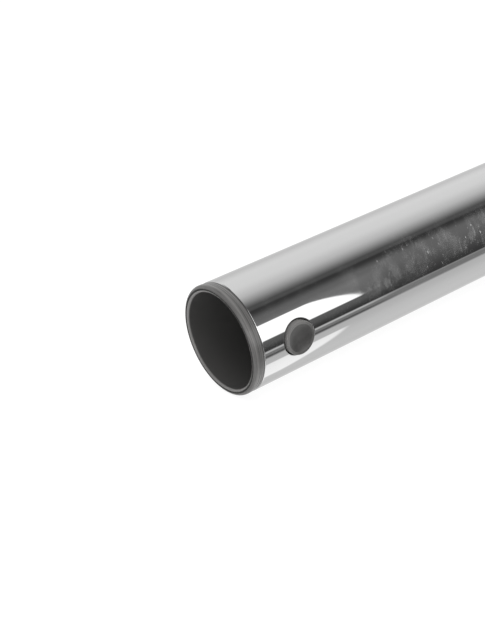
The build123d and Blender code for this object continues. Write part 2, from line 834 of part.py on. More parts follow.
with BuildPart() as thumb_pad:
    with BuildSketch():
        with BuildLine():
            ThreePointArc(
                (pad_middle - grip_half, -dished(grip_half)),
                (pad_middle, -pad_top),
                (pad_middle + grip_half, -dished(grip_half)),
            )
            Line(
                (pad_middle + grip_half, -dished(grip_half)),
                (pad_middle + grip_half, -dished(grip_half) - grip_thickness),
            )
            ThreePointArc(
                (pad_middle + grip_half, -dished(grip_half) - grip_thickness),
                (pad_middle, -pad_top - grip_thickness),
                (pad_middle - grip_half, -dished(grip_half) - grip_thickness),
            )
            Line(
                (pad_middle - grip_half, -dished(grip_half) - grip_thickness),
                (pad_middle - grip_half, -dished(grip_half)),
            )
        make_face()
    extrude(amount=grip_width / 2, both=True)
    with BuildSketch(Plane.XZ.offset(pad_bottom)):
        with Locations((pad_middle, 0)):
            RectangleRounded(grip_length, grip_width, grip_corner)
    extrude(amount=crown, mode=Mode.INTERSECT)
    grip_face = thumb_pad.faces().filter_by(GeomType.CYLINDER).group_by(Axis.Y)[0]
    fillet(grip_face.edges(), grip_round)
    for rib in range(rib_count):
        along = (rib - rib_half) * rib_spacing
        with Locations((pad_middle + along, -dished(along) - grip_thickness, 0)):
            Cylinder(rib_radius, grip_width - 2 * grip_corner)
thumb_pad.part.label = "thumb_pad"
export_step(thumb_pad.part, "parts/thumb_pad.step")


# Slider springs: a pair of compression springs between the slider and the collar
def slider_spring(z):
    """One coil spring along X at height z."""
    coil_length = spring_length - 2 * spring_wire
    with BuildPart() as spring:
        with BuildLine() as coil:
            Helix(
                pitch=coil_length / spring_turns,
                height=coil_length,
                radius=spring_radius,
                center=(slider_front_x + spring_wire, -spring_out, z),
                direction=(1, 0, 0),
            )
        with BuildSketch(Plane(origin=coil.line @ 0, z_dir=coil.line % 0)):
            Circle(spring_wire)
        sweep(is_frenet=True)
    return spring.part


for name, z in (("left", spring_spread), ("right", -spring_spread)):
    spring_part = slider_spring(z)
    spring_part.label = f"slider_spring_{name}"
    export_step(spring_part, f"parts/slider_spring_{name}.step")
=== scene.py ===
import json
import math
from dataclasses import dataclass
import bmesh
import bpy
from mathutils import Matrix, Quaternion, Vector


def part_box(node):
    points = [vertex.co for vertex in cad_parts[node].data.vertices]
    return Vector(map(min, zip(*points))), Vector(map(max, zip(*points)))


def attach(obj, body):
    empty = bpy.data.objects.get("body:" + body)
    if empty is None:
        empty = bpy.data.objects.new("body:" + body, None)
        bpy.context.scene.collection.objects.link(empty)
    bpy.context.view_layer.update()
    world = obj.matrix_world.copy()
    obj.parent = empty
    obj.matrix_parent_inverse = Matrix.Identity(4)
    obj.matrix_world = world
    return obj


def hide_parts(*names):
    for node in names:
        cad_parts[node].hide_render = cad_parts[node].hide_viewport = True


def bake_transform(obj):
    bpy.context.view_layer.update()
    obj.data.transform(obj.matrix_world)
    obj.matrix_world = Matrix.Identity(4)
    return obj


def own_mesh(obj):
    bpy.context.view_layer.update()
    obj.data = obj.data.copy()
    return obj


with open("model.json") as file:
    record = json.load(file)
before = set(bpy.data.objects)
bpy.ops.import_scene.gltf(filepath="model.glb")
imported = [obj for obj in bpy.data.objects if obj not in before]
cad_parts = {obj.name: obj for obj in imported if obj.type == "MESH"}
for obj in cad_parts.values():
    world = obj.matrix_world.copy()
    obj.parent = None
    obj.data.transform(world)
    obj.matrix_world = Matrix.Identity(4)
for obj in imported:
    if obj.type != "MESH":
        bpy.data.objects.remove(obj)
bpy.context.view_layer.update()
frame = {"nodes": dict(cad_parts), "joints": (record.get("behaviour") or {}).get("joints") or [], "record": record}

# Telescopic vacuum wand. Lengths are in metres and angles in degrees, unless said.
# +X runs along the wand from the handle end to the tool end, +Z is up, and the lock
# button and the release slider face -Y. Round the wand, angle 0 faces -Y and 90 faces +Z.
mm = 0.001

# The view of the photograph
photo_size = (485, 628)
focal_pixels = 1206
mouth_pixel = (218.5, 341.7)
mouth_depth = 0.3947
camera_azimuth = -33.42
camera_elevation = 24.85
camera_roll = -8.91
sensor = 36

# Outer tube
outer_radius = 19.5 * mm
outer_bore = 18.7 * mm
tube_start = 4.0 * mm
tube_end = 474.0 * mm
edge_round = 0.3 * mm

# Fineness of the meshes: columns of faces round a tube, and steps round a rounded edge
columns = 192
column_turn = 2 * math.pi / columns
corner_steps = 5

# Openings in the outer tube
button_x = 18.5 * mm
button_hole = 6.1 * mm
button_dish = 4.7 * mm
hole_roll = 0.45 * mm
window_x = 452.0 * mm
window_half = (2.8 * mm, 8.65 * mm)
boss_x = 438.0 * mm
boss_hole = 3.05 * mm
plain_roll = 0.12 * mm

# Socket liner
liner_bore = 17.1 * mm
groove_radius = 18.15 * mm

# Inner tube
inner_radius = 17.5 * mm
inner_wall = 0.8 * mm
spigot_radius = 17.35 * mm
spigot_length = 64.0 * mm
spigot_cone = 1.5 * mm
notch_pitch = 30.0 * mm
notch_count = 13
notch_places = [window_x - notch_pitch * notch for notch in range(notch_count)]
notch_centre = 18.4 * mm
notch_radius = 2.8 * mm
flute_centre = 19.6 * mm
flute_radius = 3.0 * mm
flute_run = (74.0 * mm, 478.0 * mm)
pressed_round = 0.35 * mm

# Springs. spring_wire is the radius of the wire, and closed_turns lie flat at each end.
spring_wire = 0.25 * mm
spring_turns = 7
closed_turns = 1
spring_margin = 0.05 * mm
leaf_end_margin = 3.0 * mm
leaf_hole = 0.93 * mm

# Lock button. A flat of radius button_middle closes the dish, button_crest lies between the
# dish and the rim's rounding, and button_foot is the chamfer under the head.
button_rim = 0.6 * mm
button_depth = 0.7 * mm
button_round = 0.25 * mm
button_middle = 0.05 * mm
button_crest = 0.03 * mm
button_foot = 0.1 * mm
button_ear_width = 6.0 * mm
button_ear_top = 18.65 * mm

# Cover screws
screw_length = 5.95 * mm
screw_tip = 1.0 * mm
screw_radius = 1.0 * mm
screw_core = 0.75 * mm
screw_pitch = 0.8 * mm
screw_head_radius = 2.1 * mm
screw_head_depth = 1.2 * mm
screw_head_round = 0.12 * mm
recess_arm = 1.25 * mm
recess_half = 0.27 * mm
recess_depth = 1.0 * mm

# Table. The collar's flat side, on which the wand lies, begins at collar_flat.
collar_flat = 411 * mm
table_half = 40.0
table_gap = 0.02 * mm

# Edges between faces that meet at more than this many degrees stay sharp
sharp_from = 35


class Socket:
    """An output of a node. Arithmetic on it adds Math nodes to the same tree."""

    def __init__(self, tree, output):
        self.tree = tree
        self.output = output

    def math(self, operation, *values):
        """A Math node of these values, which are numbers or sockets."""
        inputs = dict(enumerate(values))
        return self.tree.node("ShaderNodeMath", {"operation": operation}, inputs)

    def other(self, name):
        """Another output of the same node."""
        return Socket(self.tree, self.output.node.outputs[name])

    def above_zero(self):
        """The same value, or 0 where it is negative."""
        return self.math("MAXIMUM", self, 0)

    def step(self, low, high):
        """A smooth step from 0 at low to 1 at high."""
        return self.tree.node(
            "ShaderNodeMapRange",
            {"interpolation_type": "SMOOTHSTEP"},
            {"Value": self, "From Min": low, "From Max": high},
        )

    def __add__(self, other):
        return self.math("ADD", self, other)

    def __radd__(self, other):
        return self.math("ADD", other, self)

    def __sub__(self, other):
        return self.math("SUBTRACT", self, other)

    def __rsub__(self, other):
        return self.math("SUBTRACT", other, self)

    def __mul__(self, other):
        return self.math("MULTIPLY", self, other)

    def __rmul__(self, other):
        return self.math("MULTIPLY", other, self)

    def __truediv__(self, other):
        return self.math("DIVIDE", self, other)

    def __pow__(self, other):
        return self.math("POWER", self, other)


class Tree:
    """The nodes of one material or of the world."""

    def __init__(self, owner):
        owner.use_nodes = True
        self.tree = owner.node_tree
        self.tree.nodes.clear()

    def node(self, kind, settings=None, inputs=None, output=0):
        """Adds a node: its settings first, then the values or links of its sockets."""
        made = self.tree.nodes.new(kind)
        for name, value in (settings or {}).items():
            setattr(made, name, value)
        for name, value in (inputs or {}).items():
            if isinstance(value, Socket):
                self.tree.links.new(value.output, made.inputs[name])
            else:
                made.inputs[name].default_value = value
        return Socket(self, made.outputs[output]) if made.outputs else None

    def scaled(self, vector, scale):
        """A vector times a scale of its own for each axis."""
        return self.node("ShaderNodeVectorMath", {"operation": "MULTIPLY"}, {0: vector, 1: scale})

    def outward(self, place):
        """1 on surfaces that face away from the X axis, 0 on the inside of a bore."""
        normal = self.node("ShaderNodeNewGeometry", output="Normal")
        inputs = {0: self.scaled(place, (0, 1, 1)), 1: normal}
        dot = {"operation": "DOT_PRODUCT"}
        facing = self.node("ShaderNodeVectorMath", dot, inputs, output="Value")
        return facing.step(-6 * mm, -2 * mm)

    def noise(self, vector, scale, detail=2.0, roughness=0.5):
        """A noise from 0 to 1."""
        inputs = {"Vector": vector, "Scale": scale, "Detail": detail, "Roughness": roughness}
        return self.node("ShaderNodeTexNoise", {}, inputs)

    def blend(self, first, second, share):
        """A colour from first, at share 0, to second, at share 1."""
        return self.node(
            "ShaderNodeMix", {"data_type": "RGBA"}, {0: share, 6: first, 7: second}, output=2
        )

    def bump(self, height, depth):
        """A normal that rises by depth metres as height goes from 0 to 1."""
        return self.node("ShaderNodeBump", {}, {"Strength": 1.0, "Distance": depth, "Height": height})


def grey(level, warmth=0.0):
    """A grey colour, redder where warmth is above 0."""
    return (level * (1 + warmth), level, level * (1 - warmth), 1)


def band(place, low, high, soft):
    """1 between two places, with soft edges."""
    return place.step(low - soft, low + soft) * (1 - place.step(high - soft, high + soft))


def finish(name, inputs_of, *details):
    """A material whose inputs come from inputs_of, given its tree and details."""
    made = bpy.data.materials.new(name)
    tree = Tree(made)
    shader = tree.node("ShaderNodeBsdfPrincipled", {}, inputs_of(tree, *details))
    tree.node("ShaderNodeOutputMaterial", {}, {"Surface": shader})
    return made


def chrome(tree, worn, marked):
    """Bright chrome: mirror plate with smears, scuffs across the tube and specks.

    worn gives where along the tube the handling marks begin and end, and marked their lowest
    and highest height over its axis, in metres. The marks are on the side that faces -Y.
    """
    place = tree.node("ShaderNodeTexCoord", output="Object")
    along = tree.node("ShaderNodeSeparateXYZ", {}, {"Vector": place}, output="X")
    front = 1 - along.other("Y").step(-6 * mm, 2 * mm)
    height = along.other("Z")
    handled = band(along, *worn, 6 * mm) * band(height, *marked, 3 * mm) * front
    cloud = tree.noise(tree.scaled(place, (150, 120, 120)), 1.0, 6.0, 0.66)
    smear = cloud.step(0.4, 0.66)
    strokes = tree.noise(tree.scaled(place, (800, 120, 120)), 1.0, 4.0, 0.7)
    scuff = strokes.step(0.52, 0.74) * cloud.step(0.4, 0.56)
    spots = tree.node(
        "ShaderNodeTexVoronoi",
        {"feature": "F1"},
        {"Vector": tree.scaled(place, (620, 330, 330)), "Scale": 1.0},
        output="Distance",
    )
    speck = (1 - spots.step(0.07, 0.22)) * strokes.step(0.51, 0.59)
    film = smear * (0.015 + handled * 0.075) + handled * (scuff * 0.18 + speck * 0.55)
    bore = 1 - tree.outward(place)
    film = film + bore * (0.25 + strokes * 0.2)
    waviness = tree.noise(tree.scaled(place, (9, 40, 40)), 1.0, 1.0)
    return {
        "Base Color": grey(0.555),
        "Metallic": 1 - film,
        "Roughness": 0.03 + film * 0.25 + bore * 0.3,
        "Normal": tree.bump(waviness, 0.00001),
    }


def steel(tree, level, rough, per_metre):
    """Bare steel with fine grinding or drawing marks, so many per metre along each axis."""
    place = tree.node("ShaderNodeTexCoord", output="Object")
    marks = tree.noise(tree.scaled(place, per_metre), 1.0, 5.0, 0.65)
    return {
        "Base Color": tree.blend(grey(level * 0.85), grey(level * 1.1), marks),
        "Metallic": 1.0,
        "Roughness": rough + marks * 0.15,
        "Normal": tree.bump(marks, 0.000008),
    }


def eroded(tree, level, warmth, rough, depth):
    """Dark grip plastic with a spark-eroded skin, a little polished where hands rub it."""
    place = tree.node("ShaderNodeTexCoord", output="Object")
    sparks = tree.noise(place, 4200.0, 2.0, 0.6)
    craters = tree.node(
        "ShaderNodeTexVoronoi",
        {"feature": "SMOOTH_F1"},
        {"Vector": place, "Scale": 3000.0},
        output="Distance",
    )
    skin = sparks * 0.55 + craters * 0.45
    wear_and_highlight = tree.noise(tree.scaled(place, (35, 60, 60)), 1.0, 3.0).step(0.42, 0.72)
    return {
        "Base Color": tree.blend(
            grey(level * 0.7, warmth), grey(level * 1.35, warmth), skin * 0.8 + wear_and_highlight * 0.2
        ),
        "Roughness": rough + (skin - 0.5) * 0.2 - wear_and_highlight * 0.08,
        "Normal": tree.bump(skin, depth),
    }


def moulding(tree, level, warmth, rough, grain, depth):
    """Moulded plastic with a fine eroded grain and faint flow marks."""
    place = tree.node("ShaderNodeTexCoord", output="Object")
    pits = tree.noise(place, grain, 3.0, 0.6)
    flow = tree.noise(tree.scaled(place, (30, 90, 90)), 1.0, 3.0)
    return {
        "Base Color": tree.blend(
            grey(level * 0.86, warmth), grey(level * 1.16, warmth), flow * 0.7 + pits * 0.3
        ),
        "Roughness": rough + (flow - 0.5) * 0.12 + (pits - 0.5) * 0.1,
        "Normal": tree.bump(pits, depth),
    }


def lined_mouth(tree, bore, side, lip):
    """The liner's plastic: dull in the bore, turned lines on the flange, and painted light: painted shade
    darkening the bore, the groove, the step behind the rounded corner and the flange's back, and painted
    highlights on the lip and the rounded corner.
    """
    place = tree.node("ShaderNodeTexCoord", output="Object")
    along = tree.node("ShaderNodeSeparateXYZ", {}, {"Vector": place}, output="X")
    y = along.other("Y")
    z = along.other("Z")
    radius = (y * y + z * z) ** 0.5
    front = 1 - along.step(0.3 * mm, 0.8 * mm)
    # Painted shade in the groove on the flange's front
    groove_shade = front * band(radius, groove_radius - 0.28 * mm, groove_radius + 0.3 * mm, 0.12 * mm)
    # Painted highlight: the lip ring inside the groove is made paler
    wear_and_highlight = front * (1 - radius.step(groove_radius - 0.35 * mm, groove_radius - 0.15 * mm))
    flange = radius.step(liner_bore + 0.1 * mm, liner_bore + 0.5 * mm)
    lines = tree.noise(tree.scaled(place, (2600, 50, 50)), 1.0, 4.0, 0.65)
    # Painted highlight along the flange's rounded front corner
    corner_highlight = band(along, 0.9 * mm, 1.5 * mm, 0.2 * mm) * 0.35
    # Painted shade: a dark line at the step behind the rounded corner
    dark_line = band(along, 2.0 * mm, 2.3 * mm, 0.12 * mm) * 0.4
    # Painted shade on the flange's back, where it meets the tube
    back = along.step(3.5 * mm, 3.8 * mm) * 0.4
    level = side * (0.55 + lines * 0.9) * (1 + corner_highlight - dark_line - back)
    # Painted shade: the bore takes the darker level bore
    level = bore + flange * (level - bore)
    level = level + wear_and_highlight * (lip * (0.75 + lines * 0.5) - level)
    level = level * (1 - groove_shade * 0.9)
    pits = tree.noise(place, 2400.0, 3.0, 0.6)
    return {
        "Base Color": tree.blend(grey(0.0), grey(1.0, 0.02), level),
        "Roughness": 0.42 - flange * 0.16 + (lines - 0.5) * 0.2,
        "Normal": tree.bump(pits, 0.000008),
    }


def dished_button(tree, dish, rim):
    """The button's plastic: a dark polished dish, and a painted highlight on its paler rim, brightest towards -X
    and +Z.
    """
    place = tree.node("ShaderNodeTexCoord", output="Object")
    along = tree.node("ShaderNodeSeparateXYZ", {}, {"Vector": place}, output="X")
    x = along - button_x
    z = along.other("Z")
    radius = (x * x + z * z) ** 0.5
    # Painted highlight: the rim is made paler, most of all on its side towards -X and +Z
    wear_and_highlight = radius.step(button_dish - 0.1 * mm, button_dish + 0.3 * mm)
    wear_and_highlight = wear_and_highlight * (0.25 + (z - x).step(-5 * mm, 5 * mm) * 0.75)
    shade = tree.noise(place, 210.0, 2.0)
    pits = tree.noise(place, 2600.0, 3.0, 0.6)
    level = dish * (0.6 + shade * 0.8) + wear_and_highlight * (rim - dish)
    return {
        "Base Color": tree.blend(grey(0.0), grey(1.0, 0.02), level),
        "Roughness": 0.2 + (pits - 0.5) * 0.1,
        "Normal": tree.bump(pits, 0.000006),
    }


def rubber(tree, level):
    """Soft rubber with a dull, slightly dusty skin."""
    place = tree.node("ShaderNodeTexCoord", output="Object")
    skin = tree.noise(place, 2600.0, 2.0)
    dust = tree.noise(place, 140.0, 4.0, 0.6).step(0.45, 0.8)
    return {
        "Base Color": tree.blend(grey(level), grey(level * 1.9, 0.02), dust),
        "Roughness": 0.68 + dust * 0.2,
        "Normal": tree.bump(skin, 0.00002),
    }


def felt(tree, level):
    """Pressed wool felt: short fibres in every direction."""
    place = tree.node("ShaderNodeTexCoord", output="Object")
    fibre = tree.noise(place, 1800.0, 5.0, 0.8)
    clump = tree.noise(place, 400.0, 3.0)
    return {
        "Base Color": tree.blend(grey(level * 0.5), grey(level * 1.6), fibre * 0.6 + clump * 0.4),
        "Roughness": 0.95,
        "Sheen Weight": 0.3,
        "Normal": tree.bump(fibre, 0.0001),
    }


# Each slot's finish: the function that makes it, and what that function needs to know
finish_details = {
    "bright_chrome": (chrome, (46 * mm, 112 * mm), (2.4 * mm, 12 * mm)),
    "tube_chrome": (chrome, (540 * mm, 590 * mm), (-20 * mm, 20 * mm)),
    # The liner's bore level is painted shade, and its lip level and the button's rim level are painted highlights
    "black_moulding": (lined_mouth, 0.065, 0.1, 0.19),
    "button_moulding": (dished_button, 0.052, 0.145),
    "spring_steel": (steel, 0.5, 0.25, (900, 200, 200)),
    "grey_moulding": (moulding, 0.33, 0.0, 0.45, 2000.0, 0.000012),
    "felt": (felt, 0.16),
    "collar_moulding": (eroded, 0.028, 0.02, 0.42, 0.00006),
    "cover_moulding": (eroded, 0.034, 0.02, 0.36, 0.00004),
    "screw_steel": (steel, 0.42, 0.32, (1500, 60, 1500)),
    "soft_rubber": (rubber, 0.022),
    "ring_moulding": (moulding, 0.025, 0.02, 0.2, 2600.0, 0.000005),
    "slider_moulding": (eroded, 0.1, 0.02, 0.4, 0.00002),
    "carrier_moulding": (moulding, 0.6, 0.02, 0.4, 2000.0, 0.00001),
    "pin_steel": (steel, 0.55, 0.16, (60, 60, 1500)),
}
finishes = {slot: finish(slot, *details) for slot, details in finish_details.items()}


def dress():
    """Gives every CAD node the finish of its slot."""
    for part in frame["record"]["subparts"]:
        mesh = frame["nodes"][part["node"]].data
        mesh.materials.clear()
        mesh.materials.append(finishes[part["material_slot"]])


def on_tube(radius, x, angle):
    """A point on a cylinder round the X axis, and its outward normal. Angle is in radians."""
    normal = Vector((0, -math.cos(angle), math.sin(angle)))
    return normal * radius + Vector((x, 0, 0)), normal


class Skin:
    """A mesh built point by point with its own normals."""

    def __init__(self):
        self.points = []
        self.normals = []
        self.faces = []

    def add(self, point, normal):
        """Adds a point and returns its number."""
        self.points.append(point)
        self.normals.append(normal.normalized())
        return len(self.points) - 1

    def bridge(self, first, second, flip=False):
        """Closes the band between two closed rings of equally many points."""
        for index in range(len(first)):
            after = (index + 1) % len(first)
            face = (first[index], first[after], second[after], second[index])
            self.faces.append(face[::-1] if flip else face)

    def piece(self, name, body, slot):
        """Makes the mesh object, rides it on its body and gives it its finish."""
        mesh = bpy.data.meshes.new(name)
        mesh.from_pydata(self.points, [], self.faces)
        mesh.polygons.foreach_set("use_smooth", [True] * len(mesh.polygons))
        mesh.normals_split_custom_set_from_vertices(self.normals)
        mesh.materials.append(finishes[slot])
        made = bpy.data.objects.new(name, mesh)
        bpy.context.scene.collection.objects.link(made)
        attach(made, body)
        return made


@dataclass
class Opening:
    """A hole through the tube's wall, cut straight along the direction it faces.

    A patch of the tube's mesh is remade round it, as far as reach to each side along the
    tube, with so many cells along and round the tube. roll is the radius of its outer edge,
    and distance gives how far that edge lies from its centre, towards an angle.
    """

    x: float
    facing: float
    reach: float
    cells: tuple
    roll: float
    distance: object

    def along(self, row):
        """How far beyond the opening's centre a row of the patch's cells begins."""
        return (2 * row / self.cells[0] - 1) * self.reach

    def turn(self):
        """The turn from angle 0 of the tube to where the opening faces."""
        return Quaternion((1, 0, 0), -math.radians(self.facing))


def round_hole(radius):
    """The distance from a round hole's centre to its edge, towards any angle."""
    return lambda angle: radius


def slot_hole(half_length, half_width):
    """The same for a rectangle with softened corners, squarer as power rises."""
    power = 8

    def distance(angle):
        along = abs(math.cos(angle) / half_length) ** power
        across = abs(math.sin(angle) / half_width) ** power
        return (along + across) ** (-1 / power)

    return distance


def border_of(rows, low, high):
    """The corners round a grid of cells, in order: rows from 0, and columns low to high."""
    border = [(row, low) for row in range(rows)]
    border += [(rows, column) for column in range(low, high)]
    border += [(row, high) for row in range(rows, 0, -1)]
    border += [(0, column) for column in range(high, low, -1)]
    return border


def rolled_edge(roll, wall):
    """A sheet's edge, rounded by roll on the outer wall and a little on the inner one.

    Each row says how far the edge stands back there, how deep it lies under the outer wall,
    and the angle by which its normal has turned away from that wall's.
    """
    edge = []
    for corner, radius in enumerate((roll, min(plain_roll, wall - roll))):
        for step in range(corner_steps + 1):
            lean = (corner + step / corner_steps) * math.pi / 2
            if corner == 0:
                depth = radius * (1 - math.cos(lean))
            else:
                depth = wall - radius * (1 + math.cos(lean))
            edge.append((radius * (1 - math.sin(lean)), depth, lean))
    return edge


def snapped(place):
    """A place along the tube to a tenth of a micrometre, so that equal places match."""
    return round(place, 7)


def stations(openings, start, end):
    """Places along the tube: its ends and the cells of every opening's patch."""
    places = {snapped(start), snapped(end)}
    for opening in openings:
        for row in range(opening.cells[0] + 1):
            places.add(snapped(opening.x + opening.along(row)))
    return sorted(places)


def tube_skin(skin, radii, start, end, openings):
    """A tube's two walls with openings whose edges are rolled in, and rounded ends."""
    places = stations(openings, start + edge_round, end - edge_round)
    walls = []
    for radius, sense in zip(radii, (1, -1)):
        wall = []
        for x in places:
            ring = []
            for column in range(columns):
                point, normal = on_tube(radius, x, column * column_turn)
                ring.append(skin.add(point, normal * sense))
            wall.append(ring)
        walls.append(wall)
    closed = set()
    for opening in openings:
        first = places.index(snapped(opening.x + opening.along(0)))
        middle = round(opening.facing / 360 * columns)
        half = opening.cells[1] // 2
        for row in range(first, first + opening.cells[0]):
            for column in range(middle - half, middle + half):
                closed.add((row, column % columns))
        edge_rings(skin, walls, opening, first, middle, radii)
    for wall, outside in zip(walls, (True, False)):
        for row, (one, two) in enumerate(zip(wall, wall[1:])):
            for column in range(columns):
                if (row, column) in closed:
                    continue
                after = (column + 1) % columns
                face = (one[column], two[column], two[after], one[after])
                skin.faces.append(face if outside else face[::-1])
    for row, x, away in ((0, start, -1), (-1, end, 1)):
        tube_lip(skin, walls, row, x, away, radii)


def edge_rings(skin, walls, opening, first, middle, radii):
    """Fills the patch round an opening on both walls and joins them through its edge.

    first is the patch's first row of cells, and middle the column at its middle.
    """
    rows, across = opening.cells
    border = border_of(rows, -across // 2, across // 2)
    turned = opening.turn()
    outer, inner = radii
    rings = []
    for back, depth, lean in rolled_edge(opening.roll, outer - inner):
        radius = outer - depth
        ring = []
        for row, column in border:
            height = outer * math.sin(column * column_turn)
            angle = math.atan2(height, opening.along(row))
            out = Vector((math.cos(angle), 0, math.sin(angle)))
            flat = out * (opening.distance(angle) + back)
            point, normal = on_tube(radius, opening.x + flat.x, math.asin(flat.z / radius))
            leaned = normal * math.cos(lean) - out * math.sin(lean)
            ring.append(skin.add(turned @ point, turned @ leaned))
        rings.append(ring)
    patches = []
    for wall, edge, radius, sense in ((walls[0], rings[0], outer, 1), (walls[1], rings[-1], inner, -1)):
        patch = fanned_rings(skin, opening, border, edge, radius, sense)
        patch.append([wall[first + row][(middle + column) % columns] for row, column in border])
        patches.append(patch)
    outside, inside = patches
    chain = outside[::-1] + rings[1:] + inside[1:]
    for one, two in zip(chain, chain[1:]):
        skin.bridge(one, two)


def fanned_rings(skin, opening, border, edge, radius, sense):
    """Rings on one wall, from an opening's edge towards its patch's border, closer at first."""
    facing = math.radians(opening.facing)
    turned_back = opening.turn().inverted()
    rings = [edge]
    for share in (0.12, 0.3, 0.6):
        ring = []
        for number, (row, column) in zip(edge, border):
            near = turned_back @ skin.points[number]
            near_angle = math.atan2(near.z, -near.y)
            x = near.x + (opening.x + opening.along(row) - near.x) * share
            angle = near_angle + (column * column_turn - near_angle) * share
            point, normal = on_tube(radius, x, angle + facing)
            ring.append(skin.add(point, normal * sense))
        rings.append(ring)
    return rings


def tube_lip(skin, walls, row, x, away, radii):
    """Rounds a tube's end over from the outer wall to the inner one. away points out of it."""
    outer, inner = radii
    chain = [walls[0][row]]
    for back, depth, lean in rolled_edge(edge_round, outer - inner)[1:]:
        ring = []
        for column in range(columns):
            point, normal = on_tube(outer - depth, x - away * back, column * column_turn)
            facing = normal * math.cos(lean) + Vector((away * math.sin(lean), 0, 0))
            ring.append(skin.add(point, facing))
        chain.append(ring)
    chain.append(walls[1][row])
    for one, two in zip(chain, chain[1:]):
        skin.bridge(one, two, flip=away > 0)


def outer_tube_skin():
    """The outer tube, smooth enough to mirror the studio without facets."""
    skin = Skin()
    openings = [
        Opening(button_x, 0, 10 * mm, (30, 30), hole_roll, round_hole(button_hole)),
        Opening(boss_x, 90, 5 * mm, (14, 18), plain_roll, round_hole(boss_hole)),
        Opening(boss_x, -90, 5 * mm, (14, 18), plain_roll, round_hole(boss_hole)),
        Opening(window_x, 0, 5 * mm, (14, 38), plain_roll, slot_hole(*window_half)),
    ]
    tube_skin(skin, (outer_radius, outer_bore), tube_start, tube_end, openings)
    made = skin.piece("outer_tube_chrome", "wand", "bright_chrome")
    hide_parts("outer_tube")


def softer_of(first, second, soft):
    """The lesser of two lengths, with their corner rounded over about soft."""
    if abs(first - second) > 8 * soft:
        return min(first, second)
    low = min(first, second)
    return low - soft * math.log(math.exp((low - first) / soft) + math.exp((low - second) / soft))


def round_cut(centre, radius, away):
    """How far out a round groove's floor lies, at a distance away from its middle line."""
    if away >= radius:
        return centre
    return centre - math.sqrt(radius**2 - away**2)


def pressed(x, angle, radius, wall):
    """A point of the inner tube's wall, pressed in by the notches and the flute."""
    out = radius * math.cos(angle)
    height = radius * math.sin(angle)
    if out > 0:
        nearest = min(abs(x - place) for place in notch_places)
        out = softer_of(out, round_cut(notch_centre, notch_radius + wall, nearest), pressed_round)
    else:
        past = max(flute_run[0] - x, x - flute_run[1], 0)
        floor = round_cut(flute_centre, flute_radius + wall, math.hypot(height, past))
        out = -softer_of(-out, floor, pressed_round)
    return Vector((x, -out, height))


def pressed_normal(x, angle, radius, wall):
    """The wall's outward normal there, from points a hundredth of a millimetre away."""
    small = 0.01 * mm
    swing = small / radius
    ahead, behind = (pressed(x + away, angle, radius, wall) for away in (small, -small))
    above, below = (pressed(x, angle + away, radius, wall) for away in (swing, -swing))
    return (ahead - behind).cross(above - below)


def inner_tube_skin():
    """The inner tube, with its notches and flute pressed in and its edges softened."""
    low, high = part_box("inner_tube")
    cone_end = high.x - spigot_length
    places = {low.x, cone_end - spigot_cone, cone_end, high.x - edge_round}
    notch_steps = 7
    for middle in notch_places:
        for step in range(-notch_steps, notch_steps + 1):
            places.add(middle + step / notch_steps * (notch_radius + inner_wall))
    flute_steps = 8
    for end, away in zip(flute_run, (-1, 1)):
        for step in range(flute_steps + 1):
            places.add(end + away * step / flute_steps * flute_radius)
    places = sorted(places)
    skin = Skin()
    walls = []
    for depth, sense in ((0, 1), (inner_wall, -1)):
        rings = []
        for x in places:
            sunk = (inner_radius - spigot_radius) * min(max((x - cone_end) / spigot_cone + 1, 0), 1)
            radius = inner_radius - depth - sunk
            ring = []
            for column in range(columns):
                at = (x, column * column_turn, radius, depth)
                ring.append(skin.add(pressed(*at), pressed_normal(*at) * sense))
            rings.append(ring)
        walls.append(rings)
    for wall, outside in zip(walls, (True, False)):
        for one, two in zip(wall, wall[1:]):
            skin.bridge(one, two, flip=outside)
    radii = (spigot_radius, spigot_radius - inner_wall)
    tube_lip(skin, walls, -1, high.x, 1, radii)
    skin.bridge(walls[0][0], walls[1][0])
    made = skin.piece("inner_tube_chrome", "inner", "tube_chrome")
    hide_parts("inner_tube")


def travel_of(joint):
    """How far a sliding joint goes from rest, in metres."""
    return next(row["range_m"][1] for row in frame["joints"] if row["name"] == joint)


def placed(skin, name, slot, smooth_below=sharp_from):
    """Makes an object of a bmesh, with edges sharper than an angle left sharp."""
    bmesh.ops.recalc_face_normals(skin, faces=skin.faces)
    mesh = bpy.data.meshes.new(name)
    skin.to_mesh(mesh)
    skin.free()
    mesh.shade_smooth()
    mesh.set_sharp_from_angle(angle=math.radians(smooth_below))
    mesh.materials.append(finishes[slot])
    made = bpy.data.objects.new(name, mesh)
    bpy.context.scene.collection.objects.link(made)
    return made


def close_tube(skin, rings):
    """Faces between rings of equally many points, and over the first and the last ring."""
    for one, two in zip(rings, rings[1:]):
        for index in range(len(one)):
            after = (index + 1) % len(one)
            skin.faces.new((one[index], one[after], two[after], two[index]))
    skin.faces.new(rings[0][::-1])
    skin.faces.new(rings[-1])


